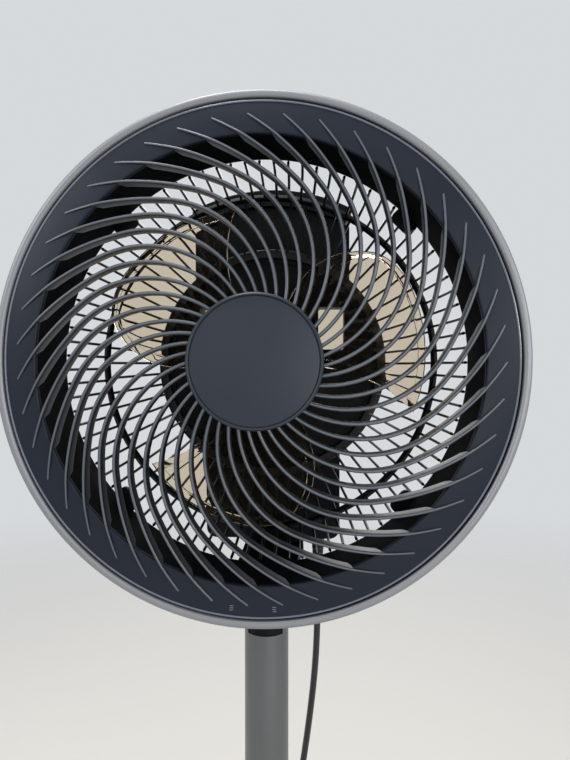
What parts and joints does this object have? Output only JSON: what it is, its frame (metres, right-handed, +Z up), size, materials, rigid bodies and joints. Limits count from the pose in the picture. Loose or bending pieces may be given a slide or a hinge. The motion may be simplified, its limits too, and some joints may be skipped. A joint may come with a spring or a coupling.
{
  "type": "pedestal air circulator fan",
  "caption": "Air circulator fan on a pole and round base: spiral-ribbed front grille, clear blades in a duct, bowl-shaped wire back, tilting and panning neck.",
  "frame": {"origin": "middle of the base on the floor, under the pole's axis", "axes": "+Z up along the pole, the fan blows towards -Y, +X to the right of a viewer who faces the fan"},
  "size_m": [0.36, 0.4114, 0.975],
  "materials": {
    "silver_paint_plastic": "satin silver paint",
    "charcoal_plastic": "satin",
    "black_plastic": "fine textured",
    "smoked_clear_plastic": "polished, see-through",
    "silver_pole": "satin",
    "zinc_steel": "bright",
    "motor_steel": "laminated",
    "copper_wire": "enamelled",
    "board": "solder resist",
    "white_nylon": "natural",
    "cast_weight": "cast",
    "black_rubber": "matt",
    "cord_jacket": "satin",
    "plug_plastic": "moulded",
    "nickel_pin": "plated"
  },
  "bodies": {
    "stand": {"base_cover": "charcoal_plastic", "base_plate": "zinc_steel", "base_weight": "cast_weight", "base_feet": "black_rubber", "base_screws": "zinc_steel", "pole_socket": "black_plastic", "pole_screws": "zinc_steel", "pole_lower": "silver_pole", "pole_joiner": "zinc_steel", "pole_upper": "silver_pole", "pole_insert": "black_plastic", "pan_spindle": "zinc_steel", "pan_gear": "white_nylon", "pan_nut": "zinc_steel", "pan_washer": "white_nylon", "power_cord": "cord_jacket", "cord_coil": "cord_jacket", "plug_body": "plug_plastic", "plug_pins": "nickel_pin", "cord_tie": "black_plastic"},
    "neck": {"neck_body": "black_plastic", "neck_cover": "black_plastic", "neck_screws": "zinc_steel", "tilt_bushes": "white_nylon", "power_board": "board", "strain_relief": "black_rubber", "pan_motor": "zinc_steel", "tilt_motor": "zinc_steel"},
    "head": {"trim_ring": "silver_paint_plastic", "front_grille": "charcoal_plastic", "hub_cap": "charcoal_plastic", "head_frame": "black_plastic", "rear_grille": "black_plastic", "grille_screws": "zinc_steel", "touch_board": "board", "motor_plate": "black_plastic", "motor_case": "black_plastic", "motor_screws": "zinc_steel", "motor_stator": "motor_steel", "motor_windings": "copper_wire", "motor_bearings": "zinc_steel", "spine_front": "black_plastic", "spine_rear": "black_plastic", "spine_screws": "zinc_steel", "top_grip": "black_plastic", "driver_board": "board", "tilt_shaft": "zinc_steel", "tilt_clips": "zinc_steel", "tilt_gear": "white_nylon"},
    "fan_wheel": {"impeller": "smoked_clear_plastic", "impeller_nut": "black_plastic", "motor_shaft": "zinc_steel", "motor_rotor": "motor_steel"},
    "pan_pinion_body": {"pan_pinion": "white_nylon"},
    "tilt_pinion_body": {"tilt_pinion": "white_nylon"}
  },
  "joints": [
    {"name": "pan", "type": "hinge", "parent": "stand", "child": "neck", "pos_m": [0, 0, 0.614], "axis": [0, 0, 1], "range_deg": [-45, 45]},
    {"name": "tilt", "type": "hinge", "parent": "neck", "child": "head", "pos_m": [0, 0.092, 0.8], "axis": [-1, 0, 0], "range_deg": [0, 85]},
    {"name": "impeller_spin", "type": "hinge", "parent": "head", "child": "fan_wheel", "pos_m": [0, 0, 0.8], "axis": [0, -1, 0], "continuous": true},
    {"name": "pan_pinion_spin", "type": "hinge", "parent": "neck", "child": "pan_pinion_body", "pos_m": [0, 0.019, 0.62], "axis": [0, 0, 1], "range_deg": [-130, 130]},
    {"name": "tilt_pinion_spin", "type": "hinge", "parent": "neck", "child": "tilt_pinion_body", "pos_m": [-0.018, 0.092, 0.781], "axis": [-1, 0, 0], "range_deg": [-240, 2]}
  ],
  "couplings": [
    {"joint": "pan_pinion_spin", "follows": "pan", "ratio": 2.8},
    {"joint": "tilt_pinion_spin", "follows": "tilt", "ratio": -2.8}
  ]
}
